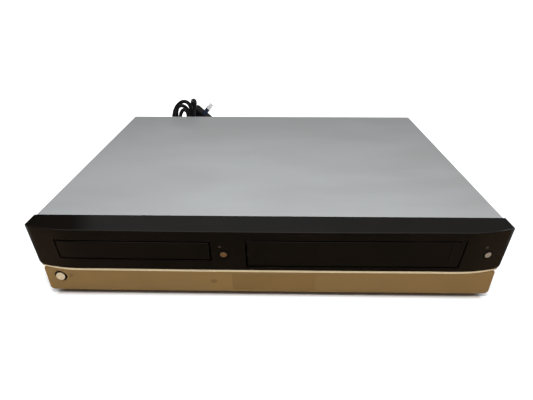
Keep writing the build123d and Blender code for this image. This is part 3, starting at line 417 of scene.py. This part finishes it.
    # cord sheath and moulded plug: black PVC, slightly waxy
    p = Mat("cord_pvc", lin(11, 11, 13), 0.36, 0.0, Specular_IOR_Level=0.4)
    p.tint(p.noise(300, 4), 0.25).shine(p.noise(240, 4, 0.6), 0.3, 0.46)
    p.bump(p.noise(1600, 3), 0.00003, 0.5)
    M["cord_pvc"] = p.m
    p = Mat("plug_pvc", lin(15, 15, 18), 0.42, 0.0, Specular_IOR_Level=0.4)
    p.tint(p.noise(160, 4), 0.25).shine(p.noise(300, 4), 0.38, 0.55)
    p.bump(p.noise(1900, 3), 0.00003, 0.6)
    M["plug_pvc"] = p.m
    # plated pins with a dark insulating sleeve on the half next to the plug
    p = Mat("pin_brass", (0.86, 0.85, 0.83), 0.25, 1.0)
    along = p.node("ShaderNodeVectorMath", operation="DOT_PRODUCT")
    shift = p.node("ShaderNodeVectorMath", operation="SUBTRACT")
    shift.inputs[1].default_value = (-0.1102, 0.207, 0.0758)
    p.link(p.coords(), shift.inputs[0])
    p.link(shift.outputs[0], along.inputs[0])
    along.inputs[1].default_value = (0.6807, 0.0, 0.7325)
    bare = p.range(along.outputs["Value"], 0.0104, 0.0107, 0.0, 1.0)
    worn = p.noise(900, 4)
    p.paint(p.mix(bare, lin(36, 46, 64), p.ramp(worn, [(0.35, (0.90, 0.89, 0.87)), (0.65, (0.97, 0.96, 0.95))])))
    p.link(p.range(bare, 0.0, 1.0, 0.0, 0.25), p.b.inputs["Metallic"])
    p.shine(worn, 0.22, 0.36)
    M["pin_brass"] = p.m


build_materials()

def socket_colours(name, row):
    """Plastic block with coloured collars and tinned centres; row holds (x, z, colour) in mm."""
    p = Mat(name, lin(26, 26, 28), 0.4)
    grain = p.noise(2000, 3, 0.6)
    col = p.ramp(p.noise(90, 4), [(0.35, lin(22, 22, 24)), (0.65, lin(31, 31, 33))])
    metal = None
    sep = p.node("ShaderNodeSeparateXYZ")
    p.link(p.coords(), sep.inputs[0])
    for x, z, c, y in row:
        flat = p.node("ShaderNodeCombineXYZ")
        p.link(sep.outputs["X"], flat.inputs["X"])
        p.link(sep.outputs["Z"], flat.inputs["Z"])
        d = p.node("ShaderNodeVectorMath", operation="DISTANCE")
        d.inputs[1].default_value = (x * MM, 0, z * MM)
        p.link(flat.outputs[0], d.inputs[0])
        inside = p.range(d.outputs["Value"], 0.00440, 0.00430, 0.0, 1.0)
        proud = p.range(sep.outputs["Y"], *y, 0.0, 1.0)
        both = p.node("ShaderNodeMath", operation="MULTIPLY")
        p.link(inside, both.inputs[0])
        p.link(proud, both.inputs[1])
        col = p.mix(both.outputs[0], col, c)
        core = p.range(d.outputs["Value"], 0.00262, 0.00252, 0.0, 1.0)
        tin = p.node("ShaderNodeMath", operation="MULTIPLY")
        p.link(core, tin.inputs[0])
        p.link(proud, tin.inputs[1])
        col = p.mix(tin.outputs[0], col, (0.62, 0.60, 0.55))
        if metal is None:
            metal = tin.outputs[0]
        else:
            mx = p.node("ShaderNodeMath", operation="MAXIMUM")
            p.link(metal, mx.inputs[0])
            p.link(tin.outputs[0], mx.inputs[1])
            metal = mx.outputs[0]
    p.paint(col)
    if metal is not None:
        p.link(metal, p.b.inputs["Metallic"])
    p.shine(p.noise(300, 4), 0.32, 0.46)
    p.bump(grain, 0.00001, 0.5)
    return p.m


YEL, WHI, RED = lin(226, 178, 30), lin(226, 224, 216), lin(176, 34, 30)
GRN, BLU = lin(34, 130, 66), lin(34, 70, 158)
slot_of = {s["node"]: s["material_slot"] for s in frame["record"]["subparts"]}
for name, ob in nodes.items():
    m = M[slot_of[name]]
    if not ob.material_slots:
        ob.data.materials.append(m)
    for s in ob.material_slots:
        s.material = m

for node, mat in (("front_fascia", "piano_black_cut"), ("tray_front", "piano_black_cut"),
                  ("cassette_door", "piano_black_cut"), ("dvd_eject_button", "dvd_cap"),
                  ("vcr_eject_button", "vcr_cap"), ("power_button", "power_cap")):
    for s in nodes[node].material_slots:
        s.material = M[mat]

rear = socket_colours("rear_sockets", [
    (62, 54, GRN, (0.1618, 0.1620)), (78, 54, BLU, (0.1618, 0.1620)), (94, 54, RED, (0.1618, 0.1620)),
    (110, 54, YEL, (0.1618, 0.1620)), (62, 34, WHI, (0.1618, 0.1620)), (78, 34, RED, (0.1618, 0.1620)),
    (94, 34, WHI, (0.1618, 0.1620)), (110, 34, RED, (0.1618, 0.1620))])
front = socket_colours("front_sockets", [
    (-176, 19, YEL, (-0.1500, -0.1510)), (-162, 19, WHI, (-0.1500, -0.1510)), (-148, 19, RED, (-0.1500, -0.1510))])
for node, m in (("av_output_jacks", rear), ("av_input_jacks", front)):
    for s in nodes[node].material_slots:
        s.material = m


# ---------------------------------------------------------------- cord
ROUTE = [
    (-188, 182, 18), (-188, 195, 17.2), (-183, 207, 14.6), (-173.8, 216.2, 10.6),
    (-161.8, 221.1, 6.6), (-150, 221.4, 3.8), (-138, 220.6, 3.0), (-126.5, 216, 3.0),
    (-119.5, 207.5, 3.0), (-118.8, 198, 3.6), (-123, 190.6, 7.8), (-127, 184.6, 16.5),
]
ROUTE += [
    # back layer, inner turn and then out to the outer one
    (-127.8, 181.8, 30), (-127.2, 181.6, 48), (-128.6, 181.6, 63.5), (-134.2, 181.6, 73.5),
    (-143.0, 181.6, 74.0), (-148.4, 181.6, 64), (-149.2, 181.6, 48), (-148.6, 181.6, 30),
    (-149.2, 181.6, 15.5), (-142.6, 181.6, 8.8), (-131.5, 181.6, 9.0), (-122.4, 181.6, 15),
    (-120.9, 181.8, 34), (-121.8, 182.0, 58),
    (-126.2, 182.0, 78), (-127.6, 182.0, 94.6), (-134.4, 182.0, 101.6), (-143.1, 182.0, 99.8),
    (-150.3, 182.0, 92.4), (-154.5, 182.0, 81.4), (-155.4, 182.0, 66), (-155.4, 181.8, 44),
    (-155.8, 181.6, 22), (-151.4, 181.0, 6.6), (-139.6, 179.0, 3.0), (-127.6, 175.6, 3.6),
    (-120.7, 174.9, 14),
    # middle layer, outer turn and then in to the inner one
    (-121.2, 174.9, 38), (-121.6, 175.2, 58), (-125.6, 176.2, 78), (-126.4, 176.6, 95.0),
    (-133.4, 176.8, 103.0), (-142.3, 176.8, 101.2), (-149.8, 176.6, 93.6), (-154.8, 176.2, 82),
    (-155.6, 175.4, 64), (-155.2, 174.8, 42), (-155.0, 174.8, 24), (-149.8, 174.8, 10.8),
    (-139.4, 174.8, 8.8), (-129.6, 174.8, 12.8), (-127.2, 174.6, 30), (-128.4, 174.2, 50),
    (-129.8, 173.6, 70), (-128.6, 173.0, 86.0), (-134.6, 172.6, 96.2), (-144.0, 172.4, 97.2),
    (-149.2, 172.6, 88.4), (-149.6, 173.4, 70), (-149.0, 173.8, 54), (-149.2, 173.0, 38),
    (-149.8, 170.4, 23), (-145.6, 168.8, 10.6), (-136.4, 168.8, 8.4), (-128.2, 168.8, 13.6),
    # front layer, small turn
    (-126.6, 168.8, 34), (-127.9, 168.7, 54), (-130.4, 168.5, 72), (-129.9, 168.4, 86.6),
    (-135.2, 168.3, 93.0), (-141.4, 168.3, 87.0), (-143.5, 168.4, 76), (-149.2, 168.6, 60),
    (-154.8, 168.8, 42), (-155.4, 168.8, 18), (-148.8, 168.8, 5.0), (-137.0, 168.8, 3.0),
    (-125.8, 168.8, 4.4), (-120.6, 168.8, 17),
    # up the right side and over in the upright fold
    (-121.0, 168.8, 40), (-122.0, 168.8, 60), (-122.4, 168.8, 77), (-119.9, 168.9, 91),
    (-117.9, 171.4, 102.2), (-120.6, 179.4, 103.5), (-125.6, 187.8, 101.4), (-127.0, 191.0, 87),
    (-124.6, 190.8, 64), (-121.8, 191.6, 43), (-122.8, 194.8, 25), (-128.2, 199.4, 11.4),
    (-137.2, 203.8, 4.4), (-147.0, 206.4, 4.8), (-154.2, 207.2, 13), (-155.2, 207.2, 23),
    (-151.5, 207, 31.2), (-144.2, 207, 39.2),
]


def make_cord():
    cu = bpy.data.curves.new("mains_cord", "CURVE")
    cu.dimensions = "3D"
    cu.bevel_depth = 0.0028
    cu.bevel_resolution = 5
    cu.resolution_u = 10
    cu.use_fill_caps = True
    sp = cu.splines.new("NURBS")
    sp.points.add(len(ROUTE) - 1)
    for p, q in zip(sp.points, ROUTE):
        p.co = (q[0] * MM, q[1] * MM, q[2] * MM, 1.0)
    sp.order_u = 3
    sp.use_endpoint_u = True
    ob = bpy.data.objects.new("mains_cord", cu)
    scene.collection.objects.link(ob)
    cu.materials.append(M["cord_pvc"])
    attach(ob, "case")
    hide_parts("cord_lead", "cord_hank")
    return ob


make_cord()


# ---------------------------------------------------------------- small generic marks
def flat_mark(name, polys, place, body, material, thick=0.00006):
    """Thin raised print. polys are lists of (x, z) in mm; place gives (x, z) -> point on the surface, facing -Y."""
    me = bpy.data.meshes.new(name)
    bm = bmesh.new()
    for poly in polys:
        front = [bm.verts.new(Vector(place(x, z)) - Vector((0, thick, 0))) for x, z in poly]
        back = [bm.verts.new(Vector(place(x, z)) + Vector((0, thick, 0))) for x, z in poly]
        bm.faces.new(front)
        bm.faces.new(list(reversed(back)))
        n = len(poly)
        for i in range(n):
            j = (i + 1) % n
            bm.faces.new((front[i], back[i], back[j], front[j]))
    bmesh.ops.recalc_face_normals(bm, faces=bm.faces)
    bm.to_mesh(me)
    bm.free()
    ob = bpy.data.objects.new(name, me)
    scene.collection.objects.link(ob)
    me.materials.append(material)
    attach(ob, body)
    return ob


def on_surface(node):
    """place function: straight back from the front on to the node's own surface"""
    me = nodes[node].data
    tree = BVHTree.FromPolygons([v.co.copy() for v in me.vertices], [tuple(f.vertices) for f in me.polygons])

    def place(x, z):
        hit = tree.ray_cast(Vector((x * MM, -1.0, z * MM)), Vector((0, 1, 0)))[0]
        return hit
    return place


def make_marks():
    p = Mat("dim_print", lin(66, 50, 37), 0.5, 0.0)
    p.tint(p.noise(900, 3), 0.15).shine(p.noise(700, 2), 0.42, 0.6)
    q = Mat("brown_print", lin(46, 33, 20), 0.55, 0.0)
    q.tint(q.noise(900, 3), 0.12).shine(q.noise(700, 2), 0.38, 0.55)
    face = on_surface("front_fascia")
    for name, cx, cz in (("dvd_eject_mark", -42.0, 64.2), ("vcr_eject_mark", 192.9, 64.0)):
        flat_mark(name, [
            [(cx - 1.35, cz - 0.1), (cx + 1.35, cz - 0.1), (cx, cz + 1.5)],
            [(cx - 1.35, cz - 1.0), (cx + 1.35, cz - 1.0), (cx + 1.35, cz - 0.55), (cx - 1.35, cz - 0.55)],
        ], face, "case", p.m)
    cx, cz = -185.2, 25.2
    arc = []
    n = 28
    for i in range(n):
        a0 = math.radians(90 + 32 + (360 - 64) * i / n)
        a1 = math.radians(90 + 32 + (360 - 64) * (i + 1) / n)
        arc.append([(cx + r * math.cos(a), cz + r * math.sin(a)) for r, a in
                    ((1.9, a0), (1.9, a1), (1.4, a1), (1.4, a0))])
    arc.append([(cx - 0.25, cz + 0.2), (cx + 0.25, cz + 0.2), (cx + 0.25, cz + 2.2), (cx - 0.25, cz + 2.2)])
    flat_mark("power_mark", arc, on_surface("lower_flap"), "lower_flap", q.m)


make_marks()


# ---------------------------------------------------------------- floor, light
def make_stage():
    me = bpy.data.meshes.new("floor")
    bm = bmesh.new()
    s = 40.0
    vs = [bm.verts.new((x, y, 0.0)) for x, y in ((-s, -s), (s, -s), (s, s), (-s, s))]
    bm.faces.new(vs)
    bm.to_mesh(me)
    bm.free()
    ob = bpy.data.objects.new("floor", me)
    scene.collection.objects.link(ob)
    p = Mat("floor", (0.9, 0.9, 0.9), 0.9, 0.0, Specular_IOR_Level=0.1)
    p.tint(p.noise(3, 3), 0.01)
    # the floor further out glows a little, so that it stays even and pale to the horizon
    away = p.node("ShaderNodeVectorMath", operation="LENGTH")
    p.link(p.coords(), away.inputs[0])
    p.b.inputs["Emission Color"].default_value = (1, 1, 1, 1)
    far = p.range(away.outputs["Value"], 0.26, 0.48, 0.0, 0.45)
    # painted light: right outside the unit's footprint the floor glows, washing out the shadow round it
    beyond = maths(p, "MAXIMUM",
                   maths(p, "SUBTRACT", maths(p, "ABSOLUTE", axis_value(p, "X"), 0.0), 0.204),
                   maths(p, "SUBTRACT", maths(p, "ABSOLUTE", axis_value(p, "Y"), 0.0), 0.1585))
    painted_glow_near_footprint = p.range(beyond, 0.0, 0.012, 0.0, 0.42)
    p.link(maths(p, "ADD", far, painted_glow_near_footprint), p.b.inputs["Emission Strength"])
    # painted shadow: under the footprint and 3 mm past it the floor is tinted warm brown as a contact shadow, with
    # the gold panel's warm bounce painted in
    p.paint(p.mix(p.range(beyond, -0.004, 0.003, 0.0, 1.0), (0.42, 0.30, 0.22), (0.9, 0.9, 0.9)))
    me.materials.append(p.m)
    return ob


def make_backdrop():
    """Plain white hall around the floor, only there for the camera to see."""
    me = bpy.data.meshes.new("backdrop")
    bm = bmesh.new()
    bmesh.ops.create_uvsphere(bm, u_segments=48, v_segments=24, radius=14.0)
    for f in bm.faces:
        f.normal_flip()
        f.smooth = True
    bm.to_mesh(me)
    bm.free()
    ob = bpy.data.objects.new("backdrop", me)
    scene.collection.objects.link(ob)
    p = Mat("backdrop", (0.0, 0.0, 0.0), 1.0, 0.0, Specular_IOR_Level=0.0)
    p.b.inputs["Emission Color"].default_value = (1, 1, 1, 1)
    p.b.inputs["Emission Strength"].default_value = 1.0
    me.materials.append(p.m)
    for ray in ("diffuse", "glossy", "transmission", "volume_scatter", "shadow"):
        setattr(ob, "visible_" + ray, False)
    return ob


def area(name, loc, target, size, power, colour=(1, 1, 1), size_y=None):
    li = bpy.data.lights.new(name, "AREA")
    li.energy = power
    li.color = colour
    li.size = size
    if size_y:
        li.shape = "RECTANGLE"
        li.size_y = size_y
    ob = bpy.data.objects.new(name, li)
    scene.collection.objects.link(ob)
    ob.location = loc
    ob.rotation_euler = (Vector(target) - Vector(loc)).to_track_quat("-Z", "Y").to_euler()
    return ob


floor = make_stage()
floor.visible_glossy = False
make_backdrop()
key = area("key", (0.01, -0.35, 0.62), (0.0, -0.06, 0.05), 0.3, 4.4, (0.96, 0.985, 1.0))
front_light = area("front_light", (0.0, -1.15, 0.42), (0, -0.15, 0.03), 0.7, 1.7)
over = area("overhead", (0.0, 0.0, 2.1), (0, 0, 0), 3.0, 8.3, (1.0, 0.985, 0.965))
side = area("side", (1.4, 0.3, 0.9), (0, 0, 0.03), 0.9, 2.2)
back_light = area("back_light", (-0.3, 1.6, 0.38), (0, 0.15, 0.04), 0.7, 4)
for li in (key, front_light, over, back_light):
    li.visible_glossy = False
for li in (key, front_light, over, side, back_light):
    li.visible_camera = False

world = bpy.data.worlds.new("studio")
scene.world = world
world.use_nodes = True
wt = world.node_tree
bg = wt.nodes["Background"]
co = wt.nodes.new("ShaderNodeTexCoord")
sep = wt.nodes.new("ShaderNodeSeparateXYZ")
wt.links.new(co.outputs["Generated"], sep.inputs[0])
ramp = wt.nodes.new("ShaderNodeValToRGB")
span = wt.nodes.new("ShaderNodeMapRange")
span.inputs["From Min"].default_value = -1.0
span.inputs["From Max"].default_value = 1.0
wt.links.new(sep.outputs["Z"], span.inputs["Value"])
wt.links.new(span.outputs["Result"], ramp.inputs["Fac"])
e = ramp.color_ramp.elements
e[0].position, e[0].color = 0.0, (0.05, 0.035, 0.025, 1)
e[1].position, e[1].color = 1.0, (0.9, 0.9, 0.9, 1)
for pos, c in ((0.494, (0.05, 0.035, 0.025)), (0.50, (0.13, 0.10, 0.07)), (0.587, (0.105, 0.092, 0.08)),
               (0.638, (0.10, 0.098, 0.10)), (0.72, (0.145, 0.15, 0.158)), (0.82, (0.27, 0.275, 0.29)),
               (0.90, (0.5, 0.5, 0.52))):
    x = e.new(pos)
    x.color = (*c, 1)


def world_range(value, a, b, c, d):
    n = wt.nodes.new("ShaderNodeMapRange")
    for k, v in zip(("From Min", "From Max", "To Min", "To Max"), (a, b, c, d)):
        n.inputs[k].default_value = v
    wt.links.new(value, n.inputs["Value"])
    return n.outputs["Result"]


def world_maths(kind, a, b):
    n = wt.nodes.new("ShaderNodeMath")
    n.operation = kind
    wt.links.new(a, n.inputs[0])
    if isinstance(b, (int, float)):
        n.inputs[1].default_value = b
    else:
        wt.links.new(b, n.inputs[1])
    return n.outputs[0]


# low down and away from the front the hall is a plain pale grey, so that the back and ends read well
low = world_range(sep.outputs["Z"], -0.02, 0.12, 1.0, 0.0)
away = world_range(sep.outputs["Y"], -0.1, 0.2, 0.0, 1.0)
pale = wt.nodes.new("ShaderNodeMix")
pale.data_type = "RGBA"
wt.links.new(world_maths("MULTIPLY", low, away), pale.inputs[0])
wt.links.new(ramp.outputs["Color"], pale.inputs[6])
pale.inputs[7].default_value = (0.42, 0.42, 0.42, 1)
# a warm glow low at both sides in front
warm = wt.nodes.new("ShaderNodeMix")
warm.data_type = "RGBA"
size_x = world_maths("ABSOLUTE", sep.outputs["X"], 0.0)
front_low = world_maths("MULTIPLY", world_range(sep.outputs["Z"], -0.1, 0.05, 1.0, 0.0),
                        world_range(sep.outputs["Y"], -0.1, 0.1, 1.0, 0.0))
wt.links.new(world_maths("MULTIPLY", front_low, world_range(size_x, 0.3, 0.6, 0.0, 1.0)), warm.inputs[0])
wt.links.new(pale.outputs[2], warm.inputs[6])
warm.inputs[7].default_value = (0.13, 0.085, 0.055, 1)
# a dark doorway high on the left, and a darker wall to the right
dim = wt.nodes.new("ShaderNodeMix")
dim.data_type = "RGBA"
left = world_maths("MAXIMUM", world_range(sep.outputs["X"], -0.43, -0.39, 1.0, 0.0),
                   world_range(sep.outputs["X"], 0.02, 0.35, 0.0, 0.32))
band = world_maths("MULTIPLY", world_range(sep.outputs["Z"], 0.12, 0.2, 0.0, 1.0),
                   world_range(sep.outputs["Z"], 0.7, 0.85, 1.0, 0.0))
wt.links.new(world_maths("MULTIPLY", world_maths("MULTIPLY", left, band), 0.92), dim.inputs[0])
wt.links.new(warm.outputs[2], dim.inputs[6])
dim.inputs[7].default_value = (0.01, 0.01, 0.01, 1)
wt.links.new(dim.outputs[2], bg.inputs["Color"])
bg.inputs["Strength"].default_value = 1.0
